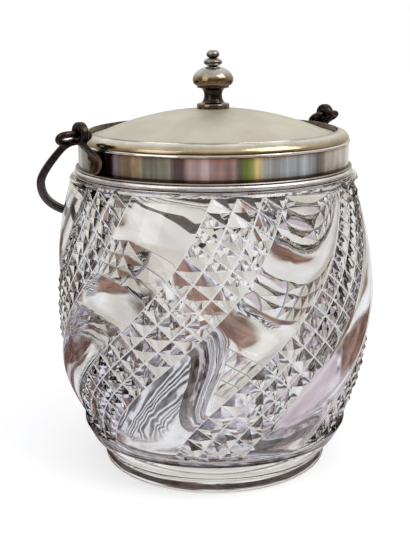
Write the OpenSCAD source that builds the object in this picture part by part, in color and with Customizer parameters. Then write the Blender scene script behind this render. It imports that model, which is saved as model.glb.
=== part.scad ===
// Biscuit jar: a cut-glass barrel in plated mounts, with a lift-off lid and a swing handle.
// Millimetres, +Z up. The origin is the centre of the foot, on the surface that the jar stands on.
// The two ears of the handle lie on the X axis, and the handle hangs towards +Y.

/* [Glass] */
// Widest diameter, over the plain pillars
glass_d = 150.8; // [142:0.2:160]
// Height of the widest place
belly_z = 76; // [66:1:82]
// Height of the glass, with the neck that stands in the collar
glass_h = 152.4; // [140:0.2:168]
// How far the glass stands out from the collar's band, just under the collar
shoulder_out = 3.9; // [2.5:0.1:5]
// How far the waist over the foot stands out from the foot
waist_out = 5.5; // [4:0.1:7]
// Height of the waist
waist_z = 12; // [10:0.5:14]
// Fullness of the curve above the belly, 1 is a straight cone
fullness_top = 1.75; // [1.4:0.1:2.2]
// Fullness of the curve below the belly
fullness_low = 2.25; // [1.4:0.05:2.6]
// Diameter of the foot
foot_d = 107.6; // [100:0.5:111]
// Height of the straight edge of the foot
foot_h = 4.5; // [3:0.5:7]
// Bevel round the standing face
foot_bevel = 0.9; // [0.4:0.1:2]
// Thickness of the glass behind the crests of the pillars
wall_t = 8; // [6:0.5:10]
// Thickness of the bottom
bottom_t = 15; // [10:0.5:20]
// Radius of the fillet round the inside of the bottom
floor_fillet = 10; // [4:0.5:14]
// Thickness of the glass at the mouth
neck_t = 6.3; // [5:0.1:8]
// Height of the neck above the lower edge of the collar's band
neck_h = 11.2; // [10:0.1:12]

/* [Cutting] */
// Number of spiral bands of diamonds
bands = 6; // [4:1:8]
// Share of each pitch that the diamonds take
band_share = 0.485; // [0.3:0.005:0.6]
// Diamonds across a band
across = 3; // [2:1:4]
// Rows of cutting from bottom to top
rows = 20; // [12:1:24]
// Height at which the cutting starts
cut_low_z = 19.5; // [18:0.5:26]
// Height of plain glass between the cutting and the collar
cut_top_gap = 1.3; // [1:0.1:4]
// Depth of the diamond points under the crests of the plain pillars between the bands
point_sink = 1.2; // [0.4:0.1:1.6]
// Depth of the grooves between the diamonds, from their points
groove = 2; // [1:0.1:2.6]
// Facets across a pillar
pillar_facets = 6; // [4:1:10]
// Height of the step between the pillars' crests and the glass round the ends of the cutting
cut_edge = 0.2; // [0.1:0.1:1]
// Mean turn of the spiral, degrees per millimetre of height
twist_rate = 0.62; // [0.3:0.01:0.8]
// Extra turn round the belly, degrees
twist_swell = 5.3; // [0:0.1:8]
// Height at which the spiral leans most
twist_z = 65; // [50:1:80]
// Height over which the lean of the spiral comes back to the same value
twist_wave = 138; // [120:1:180]
// Place of the first band round the jar at that height, degrees
band_turn = 23.8; // [0:0.1:60]

/* [Collar] */
// Diameter of the straight band
band_d = 124.2; // [123:0.2:126]
// Thickness of the plated sheet
sheet_t = 0.9; // [0.6:0.1:1.2]
// Thickness of the cement between the sheet and the glass neck
cement_t = 2.9; // [2:0.1:4]
// Height of the straight band
band_h = 9.8; // [9:0.1:10.6]
// Height of the reeded bead under the band
bead_h = 4.4; // [4:0.1:4.6]
// How far the bead stands out from the band
bead_out = 1.9; // [0.8:0.1:2.2]
// Radius of the narrow reeds along the bead's edges
reed_r = 0.44; // [0.3:0.02:0.6]
// Height of the thin wire between the band and the shoulder
wire_h = 1.6; // [1:0.1:1.8]
// How far the wire stands out from the band
wire_out = 0.5; // [0.3:0.1:0.9]
// Height of the rounded shoulder, with its lip
rim_h = 4.3; // [3.6:0.1:5]
// Width of the shoulder, from the band to the inside of the rim
rim_w = 5.5; // [4.5:0.1:6.5]
// Height of the thin lip on top of the rim
lip_h = 0.4; // [0.3:0.1:0.7]
// Width of the lip
lip_w = 0.8; // [0.6:0.1:1.2]
// Width of the ledge inside the rim, which carries the lid
seat_w = 3.4; // [2.4:0.1:4]

/* [Lid] */
// Gap between the lid and the rim, and between the lid's sleeve and the mouth
lid_gap = 0.6; // [0.3:0.1:1]
// Gap between the lid at rest and its ledge
rest_gap = 0.3; // [0.1:0.1:0.4]
// Width of the flat edge of the lid
lid_edge = 1.8; // [1:0.1:4]
// Rise of the dome over its edge
dome_h = 11.6; // [8:0.1:18]
// Depth of the sleeve under the lid
sleeve_h = 7; // [4:0.5:12]

/* [Finial] */
// Diameter of the foot of the finial
knob_foot_d = 15; // [12:0.2:18]
// Height of the foot of the finial
knob_foot_h = 2.4; // [1.8:0.1:3.2]
// Radius of the rounded edge of that foot
knob_round = 1.2; // [0.6:0.1:1.4]
// Narrowest diameter of the stem
stem_d = 8.2; // [7:0.1:10]
// Height of the narrowest place, as a share of the stem
stem_mid_share = 0.55; // [0.3:0.05:0.7]
// Height of the spool, from the dome to the bulb
spool_h = 10.2; // [8:0.1:14]
// Diameter of the dish under the bulb
dish_d = 14.6; // [12:0.1:17]
// Thickness of the dish's edge
dish_t = 1; // [0.6:0.1:1.4]
// Width of the flat underside of that edge
dish_edge = 1.2; // [0.6:0.1:1.6]
// Diameter of the bulb
bulb_d = 18.6; // [17.2:0.1:22]
// Height of the bulb
bulb_h = 8.9; // [7:0.1:12]
// Height of the bulb's widest place, as a share of its height
bulb_wide_share = 0.3; // [0.2:0.05:0.5]
// How far the bulb's base stands back from the edge of the dish
bulb_step = 0.4; // [0.2:0.1:1]
// Diameter of the ring over the bulb
ring_d = 8.4; // [6:0.1:10]
// Height of the ring
ring_h = 3.3; // [2.8:0.1:5]
// Diameter of the ring's flat faces, as a share of the ring
ring_face = 0.6; // [0.4:0.05:0.8]
// Diameter of the tip
tip_d = 5.9; // [5:0.1:7]
// Height of the tip
tip_h = 3.6; // [3:0.1:5]
// Diameter of the tip's flat faces, as a share of the tip
tip_face = 0.5; // [0.3:0.05:0.7]
// Diameter of the stud through the finial
stud_d = 3; // [2.4:0.1:3.6]
// Length of the stud under the dome
stud_tail = 5; // [4.4:0.1:7]
// Diameter of the washer under the dome
washer_d = 12; // [9:0.5:16]
// Thickness of the washer
washer_t = 0.8; // [0.5:0.1:1.2]
// Width of the square nut
nut_w = 6; // [5:0.5:8]
// Thickness of the square nut
nut_t = 2.4; // [2:0.1:3]

/* [Ears] */
// How far the middle of each ear's eye stands out from the band
ear_out = 7.5; // [7:0.1:9]
// Height of the handle's pivot over the rim
pivot_rise = 2.4; // [2:0.1:4]
// Diameter of the eye
eye_d = 9.8; // [9.4:0.1:11]
// Thickness of the eye
eye_t = 3.8; // [3:0.1:4.6]
// Diameter of the hole in the eye
hole_d = 3.8; // [3.6:0.1:4]
// Width of the narrow neck under the eye
ear_neck_w = 6.8; // [6:0.1:7.4]
// Thickness of that neck
ear_neck_t = 3.4; // [2.8:0.1:3.8]
// Width of the paddle on the band
paddle_w = 12.4; // [11:0.2:14]
// Thickness of the paddle
paddle_t = 1.8; // [1.4:0.1:2.2]

/* [Handle] */
// Radius of the arch, to the middle of the wire
arch_r = 76.2; // [75:0.2:79]
// Distance of the arch's centre below the pivot
arch_drop = 15.8; // [14:0.2:20]
// How far the straight part of each arm stands out from the middle of the eye
arm_out = 3.8; // [3.4:0.1:5]
// Diameter of the wire in the middle of the grip
grip_d = 4.4; // [3.4:0.1:5.2]
// Diameter of the wire at the ears
pin_d = 2.9; // [2.6:0.1:3]
// Gap between the wire and the rim of the eye
eye_gap = 0.5; // [0.4:0.1:0.8]
// Length of wire that shows outside each eye
hook_out = 6.5; // [5:0.5:8]
// Length of wire inside each eye
hook_in = 3.5; // [2.5:0.5:4]
// How far the closing end of each hook stands off the eye
hook_gap = 1.2; // [0.8:0.1:2]
// Share of the grip's reach at which the wire has its full diameter
swell_share = 0.67; // [0.4:0.01:1]
// Gap between the hanging handle and the glass
hang_gap = 0.3; // [0.1:0.1:1]

/* [Hidden] */

$fn = 96;

// Colours
glass_colour = [0.86, 0.89, 0.9, 0.55];
cement_colour = [0.86, 0.83, 0.76];
plate_colour = [0.8, 0.79, 0.76];
satin_colour = [0.72, 0.69, 0.62];
tarnish_colour = [0.2, 0.16, 0.13];
brass_colour = [0.72, 0.58, 0.32];

// Glass: radii that follow from the driving sizes
belly_r = glass_d / 2;
band_r = band_d / 2;
shoulder_r = band_r + shoulder_out;
foot_r = foot_d / 2;
waist_r = foot_r + waist_out;
neck_r = band_r - sheet_t - cement_t;
mouth_r = neck_r - neck_t;
band_low_z = glass_h - neck_h;
bead_low_z = band_low_z - bead_h;
cut_top_z = bead_low_z - cut_top_gap;
profile_steps = 16;

// Radius of the barrel over the crests of the pillars
function barrel_r(z) = z >= belly_z
    ? belly_r - (belly_r - shoulder_r) * pow((z - belly_z) / (bead_low_z - belly_z), fullness_top)
    : belly_r - (belly_r - waist_r) * pow((belly_z - z) / (belly_z - waist_z), fullness_low);

// Turn of the spiral at a height
function spiral(z) = twist_rate * (z - twist_z) + twist_swell * sin(360 * (z - twist_z) / twist_wave);

// Collar: heights and radii that follow
band_top_z = band_low_z + band_h;
rim_low_z = band_top_z + wire_h;
rim_top_z = rim_low_z + rim_h;
rim_r = band_r - rim_w;
seat_r = rim_r - seat_w;
seat_top_z = glass_h + sheet_t;
// Gap between fixed pieces that rest on each other
seat_gap = 0.05;
// Length by which a cutting body stands out of the solid that it cuts
over_cut = 1;

// Lid: heights and radii that follow
lid_r = rim_r - lid_gap;
lid_z = seat_top_z + rest_gap;
dome_r = lid_r - lid_edge;
dome_base_z = lid_z + sheet_t;
sleeve_r = mouth_r - lid_gap;
// Radius of the ball that the dome's outside is part of
dome_ball_r = (dome_r * dome_r + dome_h * dome_h) / (2 * dome_h);
dome_ball_z = dome_base_z + dome_h - dome_ball_r;

// Height of the dome's outside at a radius
function dome_z(r) = dome_ball_z + sqrt(dome_ball_r * dome_ball_r - r * r);

// Height of the dome's inside at a radius
function dome_under(r) = dome_ball_z + sqrt(pow(dome_ball_r - sheet_t, 2) - r * r);

// Finial: the stack from the dome up
spool_z = dome_z(knob_foot_d / 2);
bulb_z = spool_z + spool_h;
ring_z = bulb_z + bulb_h;
tip_z = ring_z + ring_h;
stud_top_z = tip_z + tip_h / 2;
washer_top_z = dome_under(washer_d / 2) - seat_gap;

// Ears and handle: places that follow
ear_x = band_r + ear_out;
arm_x = ear_x + arm_out;
pivot_z = rim_top_z + pivot_rise;
pin_r = pin_d / 2;
eye_r = eye_d / 2;
// Distance from the pivot at which the wire passes the ear's eye
pass_d = eye_r + eye_gap + pin_r;
hook_x = ear_x + eye_t / 2 + hook_out;
inner_x = ear_x - eye_t / 2 - hook_in;
turn_x = ear_x - eye_t / 2 - hang_gap;
// Length of the pin that is buried in the bent wire at each end
pin_lap = 0.2;
// Radius of the bent wire's corners, whose flats are as wide as the pin
bent_r = pin_r * 1.05;
// Angle from the middle of the grip, at the arch's centre, at which the arms leave the arch
arch_end = 70;
// Distance from the pivot at which the arms straighten
arm_low_d = pass_d + 2 * pin_d;
// Reach of the easy curves that lead each arm into the arch
arm_ease = 8;

// Gap between the glass and the handle's grip, hanging at an angle from straight down
function grip_gap(a) =
    let (d = arch_drop + arch_r)
    d * sin(a) - grip_d / 2 - barrel_r(pivot_z - d * cos(a));

// Angle at which that gap is the wanted one, by halving an interval
function hang_angle(low, high, steps) =
    let (mid = (low + high) / 2)
    steps == 0 ? mid
    : grip_gap(mid) < hang_gap ? hang_angle(mid, high, steps - 1)
    : hang_angle(low, mid, steps - 1);

// Handle's angle from straight down, at rest
rest_angle = hang_angle(0, 90, 24);

// A closed solid through rings that all have the same number of points
module loft(rings) {
    n = len(rings[0]);
    last = len(rings) - 1;
    points = [for (ring = rings) each ring];
    sides = [
        for (i = [0 : last - 1], j = [0 : n - 1])
            let (a = i * n + j, b = i * n + (j + 1) % n)
            each [[a, a + n, b + n], [a, b + n, b]]
    ];
    ends = [
        [for (j = [0 : n - 1]) j],
        [for (j = [n - 1 : -1 : 0]) last * n + j]
    ];
    polyhedron(points = points, faces = concat(sides, ends), convexity = 6);
}

// A ring of revolution from an outline of radius and height
module turned(outline) {
    rotate_extrude() polygon(outline);
}

// Points along an arc of an ellipse, from one angle to another
function arc(centre, size, from, to, steps) = [
    for (i = [0 : steps])
        let (a = from + (to - from) * i / steps)
        [centre[0] + size[0] * cos(a), centre[1] + size[1] * sin(a)]
];

// ---- Glass ----

// Point of the cut surface at a height, a place round the jar and a depth under the barrel
function cut_point(z, turn, depth) =
    let (
        a = band_turn + spiral(z) + turn,
        r = barrel_r(z) - depth
    )
    [r * cos(a), r * sin(a), z];

pitch = 360 / bands;
band_w = pitch * band_share;
pillar_w = pitch - band_w;
full_depth = point_sink + groove;

// Places across one pitch: each is an angle and a depth. Even ones in the band are groove
// crossings and odd ones are diamond points. The rest is the pillar, which swells from the
// groove on one side to its crest and back.
band_places = [
    for (j = [0 : 2 * across])
        [band_w * (j / (2 * across) - 0.5), j % 2 == 0 ? full_depth : point_sink]
];
pillar_places = [
    for (j = [1 : pillar_facets - 1])
        let (s = j / pillar_facets)
        [band_w / 2 + pillar_w * s, full_depth * pow(2 * s - 1, 2)]
];
places = concat(band_places, pillar_places);
per_pitch = len(places);
per_row = per_pitch * bands;
// Height of the buried ends of the cut surface, and their depth under the crests
root_h = 1.2;
root_sink = full_depth + groove;
// Height by which the plain glass stays clear of the first and last rows of the cutting
root_gap = 0.1;

// Index of a point in the list of the cut surface's points
function at(row, band, place) = row * per_row + (band * per_pitch + place) % per_row;

// The barrel with its spiral bands of diamonds and the pillars between them, as a solid
module cut_barrel() {
    row_h = (cut_top_z - cut_low_z) / rows;
    points = [
        for (row = [0 : rows], band = [0 : bands - 1], place = places)
            cut_point(cut_low_z + row * row_h, band * pitch + place[0], place[1]),
        for (z = [cut_low_z - root_h, cut_top_z + root_h], band = [0 : bands - 1], place = places)
            cut_point(z, band * pitch + place[0], root_sink)
    ];
    // Each diamond is four facets round its point. The grooves run along the band and
    // one row down for each diamond to the right.
    lower_facets = [
        for (row = [0 : rows - 1], band = [0 : bands - 1], j = [0 : across - 1])
            let (left = at(row, band, 2 * j), tip = left + 1, right = left + 2)
            each [[tip, left, at(row + 1, band, 2 * j)], [tip, at(row + 1, band, 2 * j), right]]
    ];
    upper_facets = [
        for (row = [1 : rows], band = [0 : bands - 1], j = [0 : across - 1])
            let (left = at(row, band, 2 * j), tip = left + 1, right = left + 2)
            each [[tip, at(row - 1, band, 2 * j + 2), left], [tip, right, at(row - 1, band, 2 * j + 2)]]
    ];
    pillars = [
        for (row = [0 : rows - 1], band = [0 : bands - 1], place = [2 * across : per_pitch - 1])
            let (
                a = at(row, band, place),
                b = at(row, band, place + 1),
                c = at(row + 1, band, place + 1),
                d = at(row + 1, band, place)
            )
            each [[a, d, c], [a, c, b]]
    ];
    low_root = (rows + 1) * per_row;
    top_root = low_root + per_row;
    roots = [
        for (i = [0 : per_row - 1])
            let (j = (i + 1) % per_row, top = rows * per_row)
            each [
                [low_root + i, i, j], [low_root + i, j, low_root + j],
                [top + i, top_root + i, top_root + j], [top + i, top_root + j, top + j]
            ]
    ];
    caps = [
        [for (i = [0 : per_row - 1]) low_root + i],
        [for (i = [per_row - 1 : -1 : 0]) top_root + i]
    ];
    polyhedron(
        points = points,
        faces = concat(lower_facets, upper_facets, pillars, roots, caps),
        convexity = 8
    );
}

// The plain glass under the cutting: foot and waist
module glass_foot() {
    top_z = cut_low_z - root_gap;
    steps = 3;
    turned(concat(
        [[0, 0], [foot_r - foot_bevel, 0], [foot_r, foot_bevel], [foot_r, foot_h]],
        arc([waist_r, foot_h], [waist_out, waist_z - foot_h], 180, 90, 7),
        [
            for (i = [1 : steps])
                let (z = waist_z + (top_z - waist_z) * i / steps)
                [barrel_r(z) + cut_edge, z]
        ],
        [[0, top_z]]
    ));
}

// The plain glass over the cutting, with the neck that stands in the collar
module glass_neck() {
    low_z = cut_top_z + root_gap;
    ledge_z = bead_low_z - seat_gap;
    turned([
        [0, low_z], [barrel_r(low_z) + cut_edge, low_z], [barrel_r(ledge_z), ledge_z],
        [neck_r, ledge_z], [neck_r, glass_h], [0, glass_h]
    ]);
}

// The space inside the jar
module jar_space() {
    low_z = bottom_t;
    side_z = low_z + floor_fillet;
    top_z = cut_top_z - wall_t;
    side_r = barrel_r(side_z) - wall_t;
    turned(concat(
        [[0, low_z]],
        arc([side_r - floor_fillet, side_z], [floor_fillet, floor_fillet], -90, 0, 5),
        [
            for (i = [1 : profile_steps])
                let (z = side_z + (top_z - side_z) * i / profile_steps)
                [barrel_r(z) - wall_t, z]
        ],
        [[mouth_r, glass_h - wall_t], [mouth_r, glass_h + over_cut], [0, glass_h + over_cut]]
    ));
}

module glass_jar() {
    color(glass_colour)
    difference() {
        union() {
            cut_barrel();
            glass_foot();
            glass_neck();
        }
        jar_space();
    }
}

// ---- Collar ----

// Cement that fills the space between the neck and the collar
module neck_cement() {
    low_z = bead_low_z;
    top_z = glass_h - sheet_t;
    outer_r = band_r - sheet_t;
    color(cement_colour)
    turned([[neck_r, low_z], [outer_r, low_z], [outer_r, top_z], [neck_r, top_z]]);
}

// Reeded bead of drawn wire under the band: a broad reed between two narrow ones
module collar_bead() {
    inner_r = band_r - sheet_t;
    face_r = band_r + bead_out;
    broad_r = bead_h / 2 - 2 * reed_r;
    narrow_mid_r = face_r - 3 * reed_r;
    color(plate_colour)
    turned(concat(
        [[inner_r, bead_low_z]],
        arc([narrow_mid_r, bead_low_z + reed_r], [2 * reed_r, reed_r], -90, 80, 6),
        arc([face_r - broad_r, bead_low_z + bead_h / 2], [broad_r, broad_r], -80, 80, 10),
        arc([narrow_mid_r, band_low_z - reed_r], [2 * reed_r, reed_r], -80, 90, 6),
        [[inner_r, band_low_z]]
    ));
}

module collar_band() {
    color(plate_colour)
    turned([
        [band_r - sheet_t, band_low_z], [band_r, band_low_z],
        [band_r, band_top_z], [band_r - sheet_t, band_top_z]
    ]);
}

// Thin wire between the band and the shoulder
module collar_wire() {
    color(plate_colour)
    turned(concat(
        [[band_r - sheet_t, band_top_z]],
        arc([band_r - wire_out, band_top_z + wire_h / 2], [2 * wire_out, wire_h / 2], -90, 90, 8),
        [[band_r - sheet_t, rim_low_z]]
    ));
}

// Spun shoulder of sheet: it rounds inwards to a thin lip, and its inside wall drops to the
// lid's ledge
module collar_rim() {
    shoulder_w = band_r - rim_r - lip_w;
    shoulder_h = rim_h - lip_h;
    lip_low_z = rim_top_z - lip_h;
    wall_r = rim_r + sheet_t;
    color(plate_colour)
    turned(concat(
        arc([rim_r + lip_w, rim_low_z], [shoulder_w, shoulder_h], 0, 90, 12),
        arc([rim_r + lip_w / 2, lip_low_z], [lip_w / 2, lip_h], 0, 180, 8),
        [[rim_r, seat_top_z], [wall_r, seat_top_z]],
        arc([wall_r, rim_low_z], [band_r - wall_r - sheet_t, shoulder_h - sheet_t], 90, 0, 12)
    ));
}

// Flat ring on the top edge of the glass, which carries the lid
module lid_seat() {
    color(plate_colour)
    turned([
        [seat_r, glass_h], [rim_r + sheet_t, glass_h], [rim_r + sheet_t, seat_top_z - seat_gap],
        [seat_r, seat_top_z - seat_gap]
    ]);
}

// ---- Ears ----

// Cast ear on the +X side: a paddle on the band, a neck that curves outwards, and an eye
module ear() {
    difference() {
        union() {
            ear_arm();
            eye();
        }
        translate([ear_x, 0, pivot_z]) rotate([0, 90, 0])
            cylinder(d = hole_d, h = 2 * eye_t, center = true);
        translate([0, 0, bead_low_z]) cylinder(r = band_r, h = rim_top_z - bead_low_z);
        translate([0, 0, band_top_z]) cylinder(r = band_r + wire_out + seat_gap, h = wire_h);
    }
}

// Oval outline of the casting at a height
function ear_ring(x, z, w, t) = [
    for (i = [0 : 15])
        let (a = i * 360 / 16)
        [x + t / 2 * cos(a), w / 2 * sin(a), z]
];

// The casting under the eye: the rounded foot of the paddle, then the rise of the neck
module ear_arm() {
    paddle_r = paddle_w / 2;
    mid_z = band_low_z + seat_gap + paddle_r;
    top_z = pivot_z - eye_r / 2;
    base_x = band_r + paddle_t / 2;
    rise_steps = 9;
    // The paddle reaches the neck's size at this share of the rise
    narrow_share = 0.625;
    paddle_rings = [
        for (a = [80 : -20 : 0])
            ear_ring(base_x, mid_z - paddle_r * sin(a), paddle_w * cos(a), paddle_t)
    ];
    rise_rings = [
        for (i = [1 : rise_steps])
            let (
                s = i / rise_steps,
                lean = s * s * (3 - 2 * s),
                narrow = min(1, s / narrow_share),
                ease = narrow * narrow * (3 - 2 * narrow)
            )
            ear_ring(
                base_x + (ear_x - base_x) * lean,
                mid_z + (top_z - mid_z) * s,
                paddle_w + (ear_neck_w - paddle_w) * ease,
                paddle_t + (ear_neck_t - paddle_t) * ease
            )
    ];
    loft(concat(paddle_rings, rise_rings));
}

// Thick ring with rounded edges
module eye() {
    round_r = eye_t / 4;
    translate([ear_x, 0, pivot_z]) rotate([0, 90, 0])
        turned(concat(
            [[0, -eye_t / 2]],
            arc([eye_r - round_r, -eye_t / 2 + round_r], [round_r, round_r], -90, 0, 4),
            arc([eye_r - round_r, eye_t / 2 - round_r], [round_r, round_r], 0, 90, 4),
            [[0, eye_t / 2]]
        ));
}

module left_ear() {
    color(tarnish_colour) mirror([1, 0, 0]) ear();
}

module right_ear() {
    color(tarnish_colour) ear();
}

// ---- Handle ----

// Places along one arm, in the handle's own plane: distance outwards and distance from the pivot.
// The wire leaves the pin inside the ear, turns back under the eye and sweeps out to the arch.
function arm_path() = concat(
    arc([turn_x, pass_d / 2], [turn_x - inner_x, pass_d / 2], -90, -270, 8),
    bezier(
        [ear_x - eye_t / 4, pass_d], [ear_x + eye_t / 2, pass_d],
        [arm_x - pin_r / 2, pass_d + pin_r], [arm_x, arm_low_d], 5
    ),
    slice(bezier(
        [arm_x, arm_low_d], [arm_x + pin_r / 2, arm_low_d + arm_ease],
        arch_point(arch_end) + arm_ease * [cos(arch_end), -sin(arch_end)], arch_point(arch_end), 6
    ))
);

// Places of the hook outside the ear: the wire leaves the pin and closes back onto the arm
function hook_path() = bezier(
    [hook_x - pin_d, 0], [hook_x + pin_d, 0],
    [hook_x + pin_r / 2, pass_d], [ear_x + eye_t / 2 + hook_gap, pass_d + pin_r / 2], 8
);

// Point of the arch at an angle from its lowest place
function arch_point(a) = [arch_r * sin(a), arch_drop + arch_r * cos(a)];

// Points along a cubic curve
function bezier(p0, p1, p2, p3, steps) = [
    for (i = [0 : steps])
        let (s = i / steps, t = 1 - s)
        t * t * t * p0 + 3 * t * t * s * p1 + 3 * t * s * s * p2 + s * s * s * p3
];

// A round ring of wire about a place of the path, square to the path's direction there
function wire_ring(path, i, r) =
    let (
        before = path[max(0, i - 1)],
        after = path[min(len(path) - 1, i + 1)],
        along = (after - before) / norm(after - before),
        sides = 12
    )
    [
        for (k = [0 : sides - 1])
            let (a = k * 360 / sides)
            [
                path[i][0] - along[1] * r * cos(a),
                r * sin(a),
                -(path[i][1] + along[0] * r * cos(a))
            ]
    ];

// A path without its first point
function slice(path) = [for (i = [1 : len(path) - 1]) path[i]];

function mirrored(path) = [for (i = [len(path) - 1 : -1 : 0]) [-path[i][0], path[i][1]]];

// Radius of the wire: it swells from the ears to the middle of the grip
function wire_r(p) =
    let (s = max(0, p[1]) / (arch_drop + arch_r))
    bent_r + (grip_d / 2 - bent_r) * min(1, s / swell_share);

module handle() {
    arch_steps = 28;
    arm = arm_path();
    arch = [
        for (i = [1 : arch_steps - 1])
            arch_point(arch_end * (1 - 2 * i / arch_steps))
    ];
    path = concat(arm, arch, mirrored(arm));
    hook = hook_path();
    color(tarnish_colour)
    translate([0, 0, pivot_z]) rotate([rest_angle, 0, 0]) {
        loft([for (i = [0 : len(path) - 1]) wire_ring(path, i, wire_r(path[i]))]);
        for (side = [0, 1]) mirror([side, 0, 0]) {
            loft([for (i = [0 : len(hook) - 1]) wire_ring(hook, i, wire_r([0, 0]))]);
            translate([turn_x - pin_lap, 0, 0]) rotate([0, 90, 0])
                cylinder(d = pin_d, h = hook[0][0] - turn_x + 2 * pin_lap);
        }
    }
}

// ---- Lid ----

// Spun dome with a flat edge
module lid_dome() {
    steps = 20;
    inner_ball_r = dome_ball_r - sheet_t;
    hole_r = stud_d / 2;
    outer_from = acos(dome_r / dome_ball_r);
    outer_to = acos(hole_r / dome_ball_r);
    inner_z = lid_z;
    inner_from = asin((inner_z - dome_ball_z) / inner_ball_r);
    inner_to = acos(hole_r / inner_ball_r);
    color(satin_colour)
    turned(concat(
        [[lid_r, lid_z], [lid_r, dome_base_z]],
        arc([0, dome_ball_z], [dome_ball_r, dome_ball_r], outer_from, outer_to, steps),
        arc([0, dome_ball_z], [inner_ball_r, inner_ball_r], inner_to, inner_from, steps)
    ));
}

// Sleeve under the lid, which centres it in the mouth
module lid_sleeve() {
    inner_r = sleeve_r - sheet_t;
    low_z = lid_z - sleeve_h;
    color(satin_colour)
    turned([
        [inner_r, low_z], [sleeve_r, low_z],
        [sleeve_r, dome_under(sleeve_r) - seat_gap], [inner_r, dome_under(inner_r) - seat_gap]
    ]);
}

// ---- Finial ----

// Turned spool: a foot on the dome, a hollowed stem, and the dish that holds the bulb
module finial_spool() {
    foot_r = knob_foot_d / 2;
    stem_r = stem_d / 2;
    dish_r = dish_d / 2;
    flat_r = foot_r - knob_round;
    stem_low = spool_z + knob_foot_h;
    stem_top = bulb_z - dish_t;
    stem_mid = stem_low + (stem_top - stem_low) * stem_mid_share;
    color(plate_colour)
    turned(concat(
        arc([0, dome_ball_z + seat_gap], [dome_ball_r, dome_ball_r],
            acos(stud_d / 2 / dome_ball_r), acos(foot_r / dome_ball_r), 4),
        arc([foot_r - knob_round / 2, stem_low - knob_round], [knob_round / 2, knob_round], 0, 90, 4),
        arc([flat_r, stem_mid], [flat_r - stem_r, stem_mid - stem_low], -90, -180, 6),
        arc([dish_r - dish_edge, stem_mid], [dish_r - dish_edge - stem_r, stem_top - stem_mid],
            180, 90, 6),
        [[dish_r, stem_top + dish_t / 4], [dish_r, bulb_z], [stud_d / 2, bulb_z]]
    ));
}

// Hollow-looking bulb: full and low, with its widest place near the dish
module finial_bulb() {
    bulb_r = bulb_d / 2;
    base_r = dish_d / 2 - bulb_step;
    low_h = bulb_h * bulb_wide_share;
    wide_z = bulb_z + low_h;
    color(plate_colour)
    turned(concat(
        [[stud_d / 2, bulb_z]],
        arc([base_r, wide_z], [bulb_r - base_r, low_h], -90, 0, 6),
        arc([0, wide_z], [bulb_r, bulb_h - low_h], 6, 78, 12),
        [[stud_d / 2, ring_z]]
    ));
}

// Small bead with a flat face at each end. The face is a share of the bead's diameter.
module bead(d, h, low_z, face_share) {
    r = d / 2;
    end_a = acos(face_share);
    translate([0, 0, low_z])
        turned(concat(
            [[0, 0]],
            arc([0, h / 2], [r, h / 2 / sin(end_a)], -end_a, end_a, 12),
            [[0, h]]
        ));
}

module finial_ring() {
    color(plate_colour)
    difference() {
        bead(ring_d, ring_h, ring_z, ring_face);
        translate([0, 0, ring_z - over_cut]) cylinder(d = stud_d, h = ring_h + 2 * over_cut);
    }
}

module finial_tip() {
    color(plate_colour)
    difference() {
        bead(tip_d, tip_h, tip_z, tip_face);
        translate([0, 0, tip_z - over_cut]) cylinder(d = stud_d, h = stud_top_z - tip_z + over_cut);
    }
}

// Stud that holds the finial together and to the dome
module finial_stud() {
    color(brass_colour)
    translate([0, 0, washer_top_z - stud_tail])
        cylinder(d = stud_d, h = stud_top_z - washer_top_z + stud_tail);
}

module finial_washer() {
    color(brass_colour)
    difference() {
        translate([0, 0, washer_top_z - washer_t]) cylinder(d = washer_d, h = washer_t);
        translate([0, 0, washer_top_z - washer_t - over_cut])
            cylinder(d = stud_d, h = washer_t + 2 * over_cut);
    }
}

module finial_nut() {
    top_z = washer_top_z - washer_t;
    color(brass_colour)
    difference() {
        translate([-nut_w / 2, -nut_w / 2, top_z - nut_t]) cube([nut_w, nut_w, nut_t]);
        translate([0, 0, top_z - nut_t - over_cut]) cylinder(d = stud_d, h = nut_t + 2 * over_cut);
    }
}

glass_jar();
neck_cement();
collar_bead();
collar_band();
collar_wire();
collar_rim();
lid_seat();
left_ear();
right_ear();
handle();
lid_dome();
lid_sleeve();
finial_spool();
finial_bulb();
finial_ring();
finial_tip();
finial_stud();
finial_washer();
finial_nut();
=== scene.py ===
"""Looks of the biscuit jar: clear cut glass, silver plate, tarnished ears and handle.

Lengths are metres in the part's own frame: +Z up, the origin at the centre of the foot, and
the handle's ears on the X axis.
"""

import math

import bmesh
import bpy
from mathutils import Euler, Matrix, Vector


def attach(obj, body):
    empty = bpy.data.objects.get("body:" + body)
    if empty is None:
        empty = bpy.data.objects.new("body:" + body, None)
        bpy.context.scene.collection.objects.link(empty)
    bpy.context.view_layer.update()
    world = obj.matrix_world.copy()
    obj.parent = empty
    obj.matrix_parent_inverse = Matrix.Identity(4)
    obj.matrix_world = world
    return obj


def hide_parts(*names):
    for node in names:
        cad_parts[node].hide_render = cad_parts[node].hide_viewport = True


MM = 0.001

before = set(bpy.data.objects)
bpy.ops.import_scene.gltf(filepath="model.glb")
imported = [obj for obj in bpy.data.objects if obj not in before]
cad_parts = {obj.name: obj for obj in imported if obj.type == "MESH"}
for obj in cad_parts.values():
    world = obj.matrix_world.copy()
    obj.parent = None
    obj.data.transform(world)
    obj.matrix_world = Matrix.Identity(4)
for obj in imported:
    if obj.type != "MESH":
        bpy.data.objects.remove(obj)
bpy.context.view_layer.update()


# ---- Glass: the same shape as the source's, with smooth pillars and ground groove lines ----

# Barrel, from the waist over the belly to the shoulder
BELLY_R = 75.4 * MM
BELLY_Z = 76 * MM
SHOULDER_R = 66 * MM
SHOULDER_Z = 136.8 * MM
WAIST_R = 59.3 * MM
WAIST_Z = 12 * MM
FULL_TOP = 1.75
FULL_LOW = 2.25

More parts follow.
